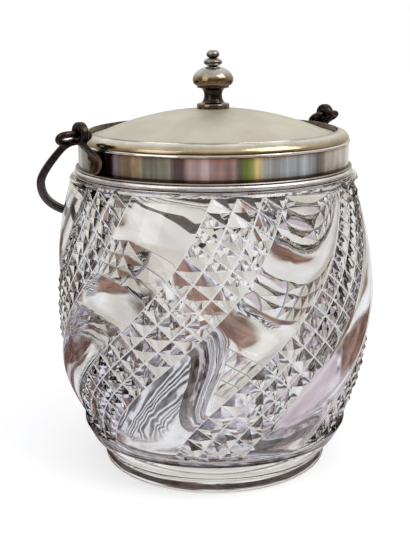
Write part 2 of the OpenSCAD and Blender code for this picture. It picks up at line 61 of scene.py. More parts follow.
# Foot, with a ring round the hollow of its base, worn matt and painted dark as shade
FOOT_R = 53.8 * MM
FOOT_H = 4.5 * MM
FOOT_BEVEL = 0.9 * MM
BEVEL_BEND = FOOT_BEVEL * 0.3
FOOT_SWELL = 0.05 * MM
SWELL_Z = FOOT_BEVEL * 1.6
FOOT_TOP_EDGE = 0.5 * MM
FLAT_EDGE = 1 * MM
FLAT_RISE = 0.12 * MM
FOOT_RING_R = 47 * MM
FOOT_RING_W = 9 * MM

# Neck and inside
WALL_T = 8 * MM
FLOOR_Z = 15 * MM
FLOOR_FILLET = 10 * MM
MOUTH_R = 52 * MM
NECK_R = 58.3 * MM
LEDGE_Z = 136.75 * MM
LEDGE_EDGE = 0.2 * MM
GLASS_H = 152.4 * MM

# Cutting: bands of diamonds, and a pillar after each. Turns are in degrees.
BANDS = 6
BAND_SHARE = 0.485
ACROSS = 3
ROWS = 20
CUT_LOW = 19.5 * MM
CUT_TOP = 135.5 * MM
POINT_SINK = 1.2 * MM
GROOVE = 2.0 * MM
FULL_DEPTH = POINT_SINK + GROOVE
CUT_EDGE = 0.2 * MM
CUT_END = 0.08 * MM
CUT_RISE = 0.15 * MM
TWIST_RATE = 0.62 / MM
TWIST_SWELL = 5.3
TWIST_Z = 65 * MM
TWIST_WAVE = 138 * MM
BAND_TURN = 23.8
# Share of a facet, from its groove to its point, that keeps the ground finish of the wheel
LINE_SHARE = 0.075

PILLAR_STEPS = 16
ROW_STEPS = 4
WAIST_STEPS = 9
RISE_STEPS = 5
THROAT_STEPS = 5
SIDE_STEPS = 30
FILLET_STEPS = 8
FLOOR_RINGS = (0.75, 0.5, 0.25)
GLASS_SHARP = 19

# Slots of the glass
GROUND_SLOT = 1
WORN_AND_SHADED_SLOT = 2


def mesh_object(bm, name, sharp):
    """The finished mesh as an object, smooth except over edges of more degrees than sharp."""
    bmesh.ops.recalc_face_normals(bm, faces=bm.faces)
    mesh = bpy.data.meshes.new(name)
    bm.to_mesh(mesh)
    bm.free()
    mesh.shade_smooth()
    mesh.set_sharp_from_angle(angle=math.radians(sharp))
    obj = bpy.data.objects.new(name, mesh)
    bpy.context.collection.objects.link(obj)
    return obj


def barrel_r(z):
    """Radius of the barrel over the crests of the pillars."""
    if z >= BELLY_Z:
        share = (z - BELLY_Z) / (SHOULDER_Z - BELLY_Z)
        return BELLY_R - (BELLY_R - SHOULDER_R) * share**FULL_TOP
    share = (BELLY_Z - z) / (BELLY_Z - WAIST_Z)
    return BELLY_R - (BELLY_R - WAIST_R) * share**FULL_LOW


def spiral(z):
    """Turn of the cutting at a height, in degrees."""
    swell = math.sin(math.tau * (z - TWIST_Z) / TWIST_WAVE)
    return TWIST_RATE * (z - TWIST_Z) + TWIST_SWELL * swell


def ring_point(r, degrees, z):
    a = math.radians(degrees)
    return (r * math.cos(a), r * math.sin(a), z)


def cut_point(z, turn, depth):
    """Place on the cut surface, at a turn from the middle of the first band."""
    return ring_point(barrel_r(z) - depth, BAND_TURN + spiral(z) + turn, z)


def cut_places():
    """Angle and depth of each place across one band and the pillar after it."""
    pitch = 360 / BANDS
    band = pitch * BAND_SHARE
    pillar = pitch - band
    places = [
        (band * (j / (2 * ACROSS) - 0.5), POINT_SINK if j % 2 else FULL_DEPTH)
        for j in range(2 * ACROSS + 1)
    ]
    for j in range(1, PILLAR_STEPS):
        share = j / PILLAR_STEPS
        places.append((band / 2 + pillar * share, FULL_DEPTH * (2 * share - 1) ** 2))
    return places


def foot_profile():
    """Radius and height of rings from the worn ring of the base up to the cutting."""
    bevel_r = FOOT_R - FOOT_BEVEL
    profile = [
        (FOOT_RING_R, 0),
        (bevel_r - FLAT_EDGE, 0),
        (bevel_r, FLAT_RISE),
        (FOOT_R - BEVEL_BEND, BEVEL_BEND),
        (FOOT_R, FOOT_BEVEL),
        (FOOT_R + FOOT_SWELL, SWELL_Z),
        (FOOT_R, FOOT_H - FOOT_TOP_EDGE),
    ]
    for k in range(WAIST_STEPS + 1):
        a = math.radians(180 - 90 * k / WAIST_STEPS)
        profile.append(
            (
                WAIST_R + (WAIST_R - FOOT_R) * math.cos(a),
                FOOT_H + (WAIST_Z - FOOT_H) * math.sin(a),
            )
        )
    for k in range(1, RISE_STEPS + 1):
        z = WAIST_Z + (CUT_LOW - CUT_RISE - WAIST_Z) * k / RISE_STEPS
        profile.append((barrel_r(z) + CUT_EDGE, z))
    profile.append((barrel_r(CUT_LOW) + CUT_END, CUT_LOW))
    return profile


def neck_profile():
    """Rings from the cutting over the shoulder and the neck, and into the mouth."""
    ledge_r = barrel_r(LEDGE_Z)
    return [
        (barrel_r(CUT_TOP) + CUT_EDGE, CUT_TOP + CUT_RISE),
        (ledge_r, LEDGE_Z - LEDGE_EDGE / 2),
        (ledge_r - LEDGE_EDGE, LEDGE_Z),
        (NECK_R, LEDGE_Z),
        (NECK_R, GLASS_H),
        (MOUTH_R, GLASS_H),
    ]


def inside_profile():
    """Rings from the mouth down the smooth inside, and over its floor."""
    throat_z = GLASS_H - WALL_T
    side_top = CUT_TOP - WALL_T
    side_low = FLOOR_Z + FLOOR_FILLET
    side_r = barrel_r(side_top) - WALL_T
    inside_r = barrel_r(side_low) - WALL_T
    floor_r = inside_r - FLOOR_FILLET
    profile = [(MOUTH_R, throat_z)]
    for k in range(1, THROAT_STEPS):
        share = k / THROAT_STEPS
        ease = share * share * (3 - 2 * share)
        z = throat_z + (side_top - throat_z) * share
        profile.append((MOUTH_R + (side_r - MOUTH_R) * ease, z))
    for k in range(SIDE_STEPS + 1):
        z = side_top + (side_low - side_top) * k / SIDE_STEPS
        profile.append((barrel_r(z) - WALL_T, z))
    for k in range(1, FILLET_STEPS + 1):
        a = math.radians(90 * k / FILLET_STEPS)
        profile.append(
            (
                inside_r - FLOOR_FILLET * (1 - math.cos(a)),
                side_low - FLOOR_FILLET * math.sin(a),
            )
        )
    return profile + [(floor_r * share, FLOOR_Z) for share in FLOOR_RINGS]


def make_glass():
    """One closed mesh: foot, cut barrel, neck and the smooth inside."""
    bm = bmesh.new()
    places = cut_places()
    pitch = 360 / BANDS
    row_h = (CUT_TOP - CUT_LOW) / ROWS

    # Turn and depth of every place of a full ring
    full = [(band * pitch + turn, depth) for band in range(BANDS) for turn, depth in places]
    count = len(full)

    # Points of the cutting. Full rows hold every place; between them only the pillars have
    # points.
    rows = []
    for row in range(ROWS + 1):
        z = CUT_LOW + row * row_h
        rows.append([bm.verts.new(cut_point(z, turn, depth)) for turn, depth in full])
    last = 2 * ACROSS
    per_pitch = len(places)
    pillar = range(last, per_pitch + 1)
    between = {}
    for row in range(ROWS):
        for step in range(1, ROW_STEPS):
            z = CUT_LOW + (row + step / ROW_STEPS) * row_h
            for band in range(BANDS):
                for place in (*range(last, per_pitch), 0):
                    turn, depth = places[place]
                    co = cut_point(z, band * pitch + turn, depth)
                    between[row, step, band, place] = bm.verts.new(co)

    def vert(row, step, band, place):
        """A point of the cut surface, also past the end of its row or its band."""
        band = (band + place // per_pitch) % BANDS
        place %= per_pitch
        if step == ROW_STEPS:
            row, step = row + 1, 0
        if step == 0:
            return rows[row][band * per_pitch + place]
        return between[row, step, band, place]

    inset = {}

    def inner(v, tip):
        """The place next to a groove where a facet's ground line ends."""
        if (v, tip) not in inset:
            inset[v, tip] = bm.verts.new(v.co.lerp(tip.co, LINE_SHARE))
        return inset[v, tip]

    def facet(a, b, tip):
        """A polished facet over its groove a-b, with the ground line along the groove."""
        c, d = inner(a, tip), inner(b, tip)
        bm.faces.new((c, d, tip))
        bm.faces.new((a, b, d, c)).material_index = GROUND_SLOT

    for row in range(ROWS):
        for band in range(BANDS):
            for step in range(ROW_STEPS):
                for a, b in zip(pillar, pillar[1:]):
                    bm.faces.new(
                        (
                            vert(row, step, band, a),
                            vert(row, step, band, b),
                            vert(row, step + 1, band, b),
                            vert(row, step + 1, band, a),
                        )
                    )
            for j in range(ACROSS):
                # The half of the diamond over this row
                left, tip, right = (vert(row, 0, band, 2 * j + k) for k in range(3))
                top = vert(row + 1, 0, band, 2 * j)
                facet(right, top, tip)
                if j:
                    facet(top, left, tip)
                else:
                    side = [vert(row, step, band, 0) for step in range(ROW_STEPS + 1)]
                    for low, high in zip(side, side[1:]):
                        facet(high, low, tip)
                # The half of the diamond under the next row
                left, tip, right = (vert(row + 1, 0, band, 2 * j + k) for k in range(3))
                foot = vert(row, 0, band, 2 * j + 2)
                facet(left, foot, tip)
                if j < ACROSS - 1:
                    facet(foot, right, tip)
                else:
                    side = [vert(row, step, band, last) for step in range(ROW_STEPS + 1)]
                    for low, high in zip(side, side[1:]):
                        facet(low, high, tip)

    def ring(r, z, spin):
        return [bm.verts.new(ring_point(r, spin + turn, z)) for turn, _ in full]

    def turned(profile, before, spin):
        """Joins rings of radius and height to the ring before them. Returns the last ring."""
        for r, z in profile:
            made = ring(r, z, spin)
            for i in range(count):
                j = (i + 1) % count
                bm.faces.new((before[i], before[j], made[j], made[i]))
            before = made
        return before

    def end_cutting(row, plain):
        """Joins an end row of the cutting to a plain ring, with the facets' inner places."""
        for i in range(count):
            j = (i + 1) % count
            a, b = row[i], row[j]
            middle = [inset[key] for key in ((a, b), (b, a)) if key in inset]
            bm.faces.new((a, *middle, b, plain[j], plain[i]))

    # Under the cutting
    spin = BAND_TURN + spiral(CUT_LOW)
    first = ring(FOOT_RING_R - FOOT_RING_W, 0, spin)
    bm.faces.new(first[::-1])
    end_cutting(rows[0], turned(foot_profile(), first, spin))

    # Over the cutting, and inside
    spin = BAND_TURN + spiral(CUT_TOP)
    first = ring(barrel_r(CUT_TOP) + CUT_END, CUT_TOP, spin)
    end_cutting(rows[-1], first)
    bm.faces.new(turned(neck_profile() + inside_profile(), first, spin))

    # The ring round the hollow of the base: worn matt, and painted grey-brown as shade under the
    # foot
    for face in bm.faces:
        if len(face.verts) == 4 and all(
            math.hypot(*v.co.xy) < FOOT_RING_R + MM and v.co.z < FLOOR_Z / 2 for v in face.verts
        ):
            face.material_index = WORN_AND_SHADED_SLOT

    glass = mesh_object(bm, "cut_glass", GLASS_SHARP)
    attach(glass, "jar")
    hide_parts("glass_jar")
    return glass


# ---- Handle: one tapered wire with a closed hook at each end ----

# In the handle's plane, X is out from its middle and D is away from the pivot. ARCH_END is in
# degrees from the middle of the grip.
PIVOT_Z = 159.3 * MM
EAR_X = 69.6 * MM
ARM_X = 73.4 * MM
EYE_T = 3.8 * MM
EYE_R = 4.9 * MM
EYE_GAP = 0.5 * MM
PIN_R = 1.45 * MM
GRIP_R = 2.2 * MM
SWELL_SHARE = 0.67
ARCH_R = 76.2 * MM
ARCH_DROP = 15.8 * MM
ARCH_END = 70
ARM_EASE = 8 * MM
HANG_GAP = 0.3 * MM
HOOK_OUT = 6.5 * MM
HOOK_IN = 3.5 * MM
HOOK_GAP = 1.2 * MM
PASS_D = EYE_R + EYE_GAP + PIN_R
ARM_LOW_D = PASS_D + 4 * PIN_R
HOOK_X = EAR_X + EYE_T / 2 + HOOK_OUT
INNER_X = EAR_X - EYE_T / 2 - HOOK_IN
TURN_X = EAR_X - EYE_T / 2 - HANG_GAP
HOOK_STEPS = 16
BEND_STEPS = 10
ARCH_STEPS = 60
HALVINGS = 30
WIRE_SIDES = 20
WIRE_SHARP = 50
# The wire has its full thickness at SWELL_SHARE of the way to its middle, and is a little
# thinner at the rings of its ends
END_RINGS = 3
END_SHARE = 0.93


def rest_angle():
    """Angle from straight down at which the grip hangs just clear of the glass."""
    reach = ARCH_DROP + ARCH_R
    low, high = 0, math.pi / 2
    for _ in range(HALVINGS):
        mid = (low + high) / 2
        gap = reach * math.sin(mid) - GRIP_R - barrel_r(PIVOT_Z - reach * math.cos(mid))
        low, high = (mid, high) if gap < HANG_GAP else (low, mid)
    return low


def bezier(p0, p1, p2, p3, steps):
    """Places on a cubic curve, with both its ends."""
    points = []
    for i in range(steps + 1):
        s = i / steps
        t = 1 - s
        points.append(
            Vector(p0) * t**3
            + Vector(p1) * 3 * t * t * s
            + Vector(p2) * 3 * t * s * s
            + Vector(p3) * s**3
        )
    return points


def arch_point(degrees):
    """Place on the arch of the grip, at an angle from its middle."""
    a = math.radians(degrees)
    return Vector((ARCH_R * math.sin(a), ARCH_DROP + ARCH_R * math.cos(a)))


def wire_path():
    """Places of the whole wire in the handle's plane: outwards, and away from the pivot."""
    arm = bezier(
        (HOOK_X - 2 * PIN_R, 0),
        (HOOK_X + 2 * PIN_R, 0),
        (HOOK_X + PIN_R / 2, PASS_D),
        (EAR_X + EYE_T / 2 + HOOK_GAP, PASS_D + PIN_R / 2),
        HOOK_STEPS,
    )[::-1]
    for i in range(HOOK_STEPS + 1):
        a = math.radians(-90 - 180 * i / HOOK_STEPS)
        arm.append(
            Vector(
                (
                    TURN_X + (TURN_X - INNER_X) * math.cos(a),
                    PASS_D / 2 + PASS_D / 2 * math.sin(a),
                )
            )
        )
    arm += bezier(
        (EAR_X - EYE_T / 4, PASS_D),
        (EAR_X + EYE_T / 2, PASS_D),
        (ARM_X - PIN_R / 2, PASS_D + PIN_R),
        (ARM_X, ARM_LOW_D),
        BEND_STEPS,
    )
    end = arch_point(ARCH_END)
    a = math.radians(ARCH_END)
    arm += bezier(
        (ARM_X, ARM_LOW_D),
        (ARM_X + PIN_R / 2, ARM_LOW_D + ARM_EASE),
        end + ARM_EASE * Vector((math.cos(a), -math.sin(a))),
        end,
        BEND_STEPS,
    )[1:]
    arch = [arch_point(ARCH_END * (1 - 2 * i / ARCH_STEPS)) for i in range(1, ARCH_STEPS)]
    return arm + arch + [Vector((-p.x, p.y)) for p in arm[::-1]]


def make_handle():
    """The wire's path with rings round it, turned to the angle at which the handle hangs."""
    path = wire_path()
    bm = bmesh.new()
    rings = []
    for i, p in enumerate(path):
        along = (path[min(i + 1, len(path) - 1)] - path[max(i - 1, 0)]).normalized()
        share = max(0.0, p.y) / (ARCH_DROP + ARCH_R)
        r = PIN_R + (GRIP_R - PIN_R) * min(1.0, share / SWELL_SHARE)
        if min(i, len(path) - 1 - i) < END_RINGS:
            r *= END_SHARE
        made = []
        for k in range(WIRE_SIDES):
            a = math.tau * k / WIRE_SIDES
            across = r * math.cos(a)
            made.append(
                bm.verts.new(
                    (p.x - along.y * across, r * math.sin(a), -(p.y + along.x * across))
                )
            )
        rings.append(made)
    for low, high in zip(rings, rings[1:]):
        for k in range(WIRE_SIDES):
            j = (k + 1) % WIRE_SIDES
            bm.faces.new((low[k], low[j], high[j], high[k]))
    bm.faces.new(rings[0][::-1])
    bm.faces.new(rings[-1])
    bm.transform(Matrix.Translation((0, 0, PIVOT_Z)) @ Matrix.Rotation(rest_angle(), 4, "X"))
    handle = mesh_object(bm, "swing_handle", WIRE_SHARP)
    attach(handle, "bail")
    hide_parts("handle")
    return handle


CAST_VOXEL = 0.28 * MM
CAST_ROUNDS = 8


def soften_ears():
    """The cast ears have rounded corners: a fine remesh, smoothed."""
    for name in ("left_ear", "right_ear"):
        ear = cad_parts[name]
        remesh = ear.modifiers.new("cast", "REMESH")
        remesh.mode = "VOXEL"
        remesh.voxel_size = CAST_VOXEL
        remesh.use_smooth_shade = True
        smooth = ear.modifiers.new("rounded", "SMOOTH")
        smooth.factor = 0.5
        smooth.iterations = CAST_ROUNDS


# ---- Materials ----


def srgb(*levels):
    """A colour that is written as 0 to 255, for a shader."""
    shares = (level / 255 for level in levels)
    return tuple(s / 12.92 if s <= 0.04045 else ((s + 0.055) / 1.055) ** 2.4 for s in shares)


class Tree:
    """Short ways to build a tree of nodes. Its noise uses the tree's own coordinates."""

    def __init__(self, tree):
        self.tree = tree
        self.coords = None

    def add(self, kind, **inputs):
        """A node. The names of its inputs have underscores for spaces."""
        node = self.tree.nodes.new(kind)
        for key, value in inputs.items():
            self.feed(node, key.replace("_", " "), value)
        return node

    def feed(self, node, name, value):
        """Links an input to a socket, or sets it. A colour is written without its alpha."""
        socket = node.inputs[name]
        if isinstance(value, bpy.types.NodeSocket):
            self.tree.links.new(value, socket)
        elif socket.type == "RGBA":
            socket.default_value = (*value, 1)
        else:
            socket.default_value = value

    def calc(self, operation, a, b=0.0):
        """The result of a maths node for one or two values."""
        node = self.tree.nodes.new("ShaderNodeMath")
        node.operation = operation
        self.feed(node, 0, a)
        self.feed(node, 1, b)
        return node.outputs[0]

    def shift(self, value, by, most):
        """A value moved by a share of the most that it may move."""
        return self.calc("ADD", value, self.calc("MULTIPLY", by, most))

    def level(self, value, low, high, from_low=0.0, from_high=1.0):
        """Maps a range of values to another. A value outside it gets the nearest end."""
        node = self.add(
            "ShaderNodeMapRange",
            Value=value,
            From_Min=from_low,
            From_Max=from_high,
            To_Min=low,
            To_Max=high,
        )
        return node.outputs["Result"]

    def window(self, value, low, high, soft):
        """1 between two values and 0 outside them, with soft ends."""
        rise = self.level(value, 0.0, 1.0, low - soft, low + soft)
        fall = self.level(value, 1.0, 0.0, high - soft, high + soft)
        return self.calc("MULTIPLY", rise, fall)

    def reach(self):
        """Distance from the jar's axis."""
        flat = self.add("ShaderNodeVectorMath", Vector=self.coords)
        flat.operation = "MULTIPLY"
        self.feed(flat, 1, (1, 1, 0))
        length = self.add("ShaderNodeVectorMath", Vector=flat.outputs["Vector"])
        length.operation = "LENGTH"
        return length.outputs["Value"]

    def spots(self, scale, detail=4.0, stretch=(1, 1, 1), rough=0.5):
        """Noise from 0 to 1, mostly close to 0.5. A small stretch draws it out that way."""
        mapping = self.add("ShaderNodeMapping", Vector=self.coords, Scale=stretch)
        node = self.add("ShaderNodeTexNoise", Scale=scale, Detail=detail, Roughness=rough)
        self.feed(node, "Vector", mapping.outputs["Vector"])
        return node.outputs["Fac"]

    def ramp(self, value, *stops):
        """The colour at a value between stops of place and colour."""
        node = self.tree.nodes.new("ShaderNodeValToRGB")
        elements = node.color_ramp.elements
        while len(elements) < len(stops):
            elements.new(0.5)
        for element, (place, colour) in zip(elements, stops):
            element.position = place
            element.color = (*colour, 1)
        self.feed(node, "Fac", value)
        return node.outputs["Color"]

    def blend(self, share, a, b, kind="MIX"):
        """Colour a, or colour b where the share is 1."""
        node = self.tree.nodes.new("ShaderNodeMix")
        node.data_type = "RGBA"
        node.blend_type = kind
        for index, value in ((0, share), (6, a), (7, b)):
            self.feed(node, index, value)
        return node.outputs[2]

    def times(self, a, b):
        """Colour a multiplied by colour b."""
        return self.blend(1.0, a, b, "MULTIPLY")

    def mix_shader(self, share, a, b):
        """Shader a, or shader b where the share is 1."""
        node = self.tree.nodes.new("ShaderNodeMixShader")
        for index, value in enumerate((share, a, b)):
            self.feed(node, index, value)
        return node.outputs[0]


class Surface(Tree):
    """A material on the Principled shader, with the part's own coordinates."""

    def __init__(self, name):
        self.mat = bpy.data.materials.new(name)
        self.mat.use_nodes = True
        super().__init__(self.mat.node_tree)
        self.bsdf = self.tree.nodes["Principled BSDF"]
        self.coords = self.add("ShaderNodeTexCoord").outputs["Object"]
        split = self.add("ShaderNodeSeparateXYZ", Vector=self.coords)
        self.depth, self.height = (split.outputs[axis] for axis in "YZ")

    def set(self, **inputs):
        """Feeds inputs of the Principled shader."""
        for key, value in inputs.items():
            self.feed(self.bsdf, key.replace("_", " "), value)

    def between(self, low, high):
        """0 at one height and 1 at another."""
        return self.level(self.height, 0.0, 1.0, low, high)

    def bump(self, height, strength, distance):
        node = self.add("ShaderNodeBump", Strength=strength, Distance=distance)
        self.feed(node, "Height", height)
        self.feed(self.bsdf, "Normal", node.outputs["Normal"])


# Places of tarnish, wear, painted light and painted shade: two heights each, or two distances
# from the axis or the ears
BAND_SHADED_EDGE = (141.0 * MM, 145.0 * MM)
BAND_TOP_EDGE = (149.4 * MM, 151.0 * MM)
BEAD_FACE = (136.8 * MM, 141.2 * MM)
RIM_FACE = (152.4 * MM, 157.0 * MM)
RIM_SHADED_WALL = (56.9 * MM, 57.4 * MM)
PADDLE = (151.5 * MM, 146.5 * MM)
FINIAL = (165.0 * MM, 193.0 * MM)
EAR_DARK_REFLECTION = (8 * MM, 34 * MM)
EAR_DARK_REFLECTION_ROUGH = 6 * MM
GLASS_IOR = 1.52


def clear_glass():
    """Polished glass with the faint waves of hand work."""
    m = Surface("clear_glass")
    m.set(
        Base_Color=(0.985, 0.985, 0.988),
        Transmission_Weight=1.0,
        Roughness=0.0,
        IOR=GLASS_IOR,
    )
    m.bump(m.spots(45.0, 2.0), 0.12, 0.6 * MM)
    return m.mat


def ground_line():
    """The matt line that the wheel leaves along each groove."""
    m = Surface("ground_line")
    m.set(
        Base_Color=m.ramp(m.spots(400.0), (0.3, (0.9, 0.9, 0.9)), (0.7, (1.0, 1.0, 1.0))),
        Transmission_Weight=0.35,
        Roughness=0.35,
        IOR=GLASS_IOR,
    )
    return m.mat


def worn_and_shaded_foot():
    """Ring under the foot: worn matt, and painted dark grey-brown as shade under the foot and a
    painted reflection of a brown table.
    """
    m = Surface("worn_and_shaded_foot")
    m.set(
        Base_Color=m.ramp(m.spots(90.0), (0.38, (0.06, 0.038, 0.03)), (0.64, (0.3, 0.24, 0.22))),
        Specular_IOR_Level=0.1,
        Roughness=0.6,
    )
    return m.mat


def plate(name, dark, light, rough, scale=60.0, wear=0.06, bump=0.04):
    """Metal with uneven polish: patches of colour between two, and fine dents."""
    m = Surface(name)
    m.patches = m.ramp(m.spots(scale, 5.0, rough=0.6), (0.35, dark), (0.65, light))
    m.set(
        Base_Color=m.patches,
        Metallic=1.0,
        Roughness=m.level(m.spots(scale * 2.3), rough - wear, rough + wear, 0.3, 0.7),
    )
    if bump:
        m.bump(m.spots(scale * 4, 3.0), bump, 0.2 * MM)
    return m


def band_plate():
    """Polished band: upright streaks of wear and painted reflection, painted shade along its
    lower edge by the bead, a brown tint along its top edge, and a painted dark reflection close
    to the ears.
    """
    m = plate("polished_band", (0.6, 0.56, 0.5), (0.82, 0.79, 0.75), 0.1, 40.0, 0.03, bump=0)
    # Painted shade along the lower edge, next to the bead; the top edge gets a brown tint
    low = m.ramp(
        m.between(*BAND_SHADED_EDGE),
        (0.0, (0.06, 0.04, 0.03)),
        (0.3, (0.22, 0.17, 0.15)),
        (0.42, (0.72, 0.7, 0.69)),
        (1.0, (1, 1, 1)),
    )
    top = m.ramp(m.between(*BAND_TOP_EDGE), (0.0, (1, 1, 1)), (1.0, (0.8, 0.55, 0.36)))
    # Upright streaks: partly wear, partly painted reflections of the things in front
    wear_and_reflection_streaks = m.ramp(m.spots(220.0, 3.0, (1, 1, 0.06)), (0.35, (0.66, 0.64, 0.62)), (0.6, (1, 1, 1)))
    # Darker close to the ears: a painted dark reflection
    off_ears = m.shift(m.calc("ABSOLUTE", m.depth), m.spots(160.0), EAR_DARK_REFLECTION_ROUGH)
    ears = m.ramp(
        m.level(off_ears, 0.0, 1.0, *EAR_DARK_REFLECTION),
        (0.0, (0.2, 0.16, 0.15)),
        (0.5, (0.42, 0.37, 0.38)),
        (0.85, (0.72, 0.68, 0.7)),
        (1.0, (1, 1, 1)),
    )
    colour = m.patches
    for layer in (low, top, wear_and_reflection_streaks, ears):
        colour = m.times(colour, layer)
    m.set(Base_Color=colour)
    lines = m.calc(
        "ADD", m.spots(260.0, 3.0, (1, 1, 0.08)), m.spots(260.0, 3.0, (0.08, 0.08, 1))
    )
    m.bump(lines, 0.1, 0.12 * MM)
    return m.mat


def bead_plate():
    """Drawn bead: dark in the two valleys between its reeds."""
    m = plate("silver_bead", (0.66, 0.63, 0.61), (0.92, 0.9, 0.89), 0.3, 120.0)
    # Dark at its top edge too, against the band: painted shade between the parts
    valleys = m.ramp(
        m.between(*BEAD_FACE),
        (0.0, (0.6, 0.56, 0.53)),
        (0.1, (1, 1, 1)),
        (0.2, (0.35, 0.3, 0.28)),
        (0.28, (1, 1, 1)),
        (0.74, (1, 1, 1)),
        (0.8, (0.35, 0.3, 0.28)),
        (0.9, (0.7, 0.66, 0.62)),
        (1.0, (0.2, 0.15, 0.12)),
    )
    m.set(Base_Color=m.times(m.patches, valleys))
    return m.mat


def rim_plate():
    """Rim: painted reflection, highlight and shade outside, by height, and painted shade on its
    inner wall in the gap by the lid.
    """
    m = plate("silver_rim", (0.68, 0.66, 0.64), (1.0, 1.0, 1.0), 0.17, 70.0, 0.05)
    # By height: painted shade at the foot by the wire, a painted golden reflection over the lower
    # half, a painted highlight near the top, and a greyer flat top
    tone = m.ramp(
        m.between(*RIM_FACE),
        (0.0, (0.2, 0.15, 0.1)),
        (0.12, (0.44, 0.36, 0.25)),
        (0.45, (0.54, 0.46, 0.32)),
        (0.62, (0.68, 0.61, 0.48)),
        (0.8, (0.86, 0.84, 0.8)),
        (1.0, (0.7, 0.67, 0.61)),
    )
    # Painted shade on the inner wall, in the gap between the rim and the lid's dome
    inside = m.level(m.reach(), 1.0, 0.0, *RIM_SHADED_WALL)
    dark = m.ramp(m.spots(300.0), (0.3, (0.07, 0.05, 0.04)), (0.7, (0.2, 0.15, 0.12)))
    m.set(Base_Color=m.blend(inside, m.times(tone, m.patches), dark))
    return m.mat


def ear_plate():
    """Tarnished casting: near black at the eye, rubbed to golden brown on the paddle."""
    m = plate("tarnished_ear", (0.014, 0.01, 0.008), (0.07, 0.052, 0.04), 0.24, 240.0)
    rubbed = m.ramp(m.spots(300.0), (0.3, (0.1, 0.066, 0.036)), (0.7, (0.3, 0.21, 0.12)))
    m.set(Base_Color=m.blend(m.between(*PADDLE), m.patches, rubbed))
    return m.mat


def finial_plate():
    """Aged silver, near black with tarnish in the hollows; the bulb has a painted highlight on
    top and a painted golden reflection under it.
    """
    m = plate("silver_finial", (0.62, 0.6, 0.57), (1.0, 1.0, 1.0), 0.16, 160.0, 0.05)
    # By height: near black tarnish on the stem, a painted golden reflection on the lower bulb,
    # and painted highlights as lighter bands on the spool's edges, the top of the bulb, the ring
    # and the tip
    tone = m.ramp(
        m.between(*FINIAL),
        (0.0, (0.12, 0.09, 0.07)),
        (0.12, (0.24, 0.19, 0.15)),
        (0.16, (0.04, 0.035, 0.035)),
        (0.36, (0.05, 0.042, 0.038)),
        (0.42, (0.36, 0.29, 0.22)),
        (0.45, (0.22, 0.15, 0.09)),
        (0.54, (0.34, 0.27, 0.19)),
        (0.62, (0.72, 0.7, 0.68)),
        (0.73, (0.64, 0.62, 0.6)),
        (0.76, (0.1, 0.08, 0.07)),
        (0.81, (0.5, 0.44, 0.38)),
        (0.87, (0.09, 0.07, 0.06)),
        (0.93, (0.55, 0.5, 0.45)),
        (1.0, (0.35, 0.31, 0.27)),
    )
    m.set(Base_Color=m.times(tone, m.patches))
    return m.mat


def satin_plate():
    """The lid's dull plate, which mirrors little."""
    m = plate("satin_lid", (0.57, 0.53, 0.44), (0.68, 0.64, 0.54), 0.5, 45.0)
    m.set(Metallic=0.6)
    return m.mat


def plaster():
    m = Surface("plaster")
    colour = m.ramp(m.spots(300.0), (0.35, (0.72, 0.69, 0.62)), (0.65, (0.82, 0.79, 0.73)))
    m.set(Base_Color=colour, Roughness=0.9)
    return m.mat


def dress(material, *nodes):
    """Gives pieces of the part one material."""
    for node in nodes:
        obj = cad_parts[node]
        obj.data.materials.clear()
        obj.data.materials.append(material)


def dress_all(glass, handle):
    # In the order of the glass's slots
    for material in (clear_glass(), ground_line(), worn_and_shaded_foot()):
        glass.data.materials.append(material)
    wire = plate("tarnished_wire", (0.014, 0.009, 0.007), (0.065, 0.045, 0.038), 0.22, 260.0)
    handle.data.materials.append(wire.mat)
    dress(ear_plate(), "left_ear", "right_ear")
    dress(band_plate(), "collar_band")
    dress(bead_plate(), "collar_bead")
    dress(plate("silver_wire", (0.7, 0.67, 0.63), (0.88, 0.86, 0.83), 0.14).mat, "collar_wire")
    dress(rim_plate(), "collar_rim", "lid_seat")
    dress(satin_plate(), "lid_dome", "lid_sleeve")
    dress(finial_plate(), "finial_spool", "finial_bulb", "finial_ring", "finial_tip")
    brass = plate("brass", (0.5, 0.38, 0.18), (0.68, 0.54, 0.28), 0.32, 200.0)
    dress(brass.mat, "finial_stud", "finial_washer", "finial_nut")
    dress(plaster(), "neck_cement")


# ---- Camera, room, floor and light ----

# The photo's camera. Angles are in degrees, and the lens follows from pixels.
CAMERA_DISTANCE = 456 * MM
CAMERA_HEIGHT = 204.9 * MM
CAMERA_SIDE = -4.24 * MM
CAMERA_DOWN = 14.34
CAMERA_ROLL = -0.39
CAMERA_TURN = -36.2
FOCAL_PX = 986
FRAME_PX = 545
SENSOR = 36

# Bounds in the room, by the direction's turn (0.5 in front of the jar, 0.75 at its right) or by
# its height (-1 straight down, 1 straight up), and how soft or how rough they are
FRONT = (0.17, 0.8)
FRONT_SOFT = 0.02
GOLDEN_FRONT = (0.24, 0.72)
GOLDEN_SOFT = 0.06
TABLE_TOP = (-0.4, -0.25)
TABLE_BACK = (-0.45, -0.4)
WALL_LOW = -0.06
HORIZON = (-0.075, -0.045)
TURN_SOFT = 0.006
HEIGHT_SOFT = 0.012
TURN_ROUGH = 0.02
HEIGHT_ROUGH = 0.06

FLOOR_SIZE = 6
FLOOR_SINK = 0.05 * MM
FLOOR_GLOW = 0.42
CONTACT_SHADOW_RING = (42 * MM, 55 * MM)
CONTACT_SHADOW_RING_SOFT = 2 * MM

# Metres towards the camera, to its right and up, then the size in metres and the watts
LIGHTS = {"key": (0.5, 0.9, 1.1, 0.9, 7), "fill": (0.8, -0.9, 0.6, 0.8, 3)}
LIGHT_TARGET = (0, 0, 0.08)


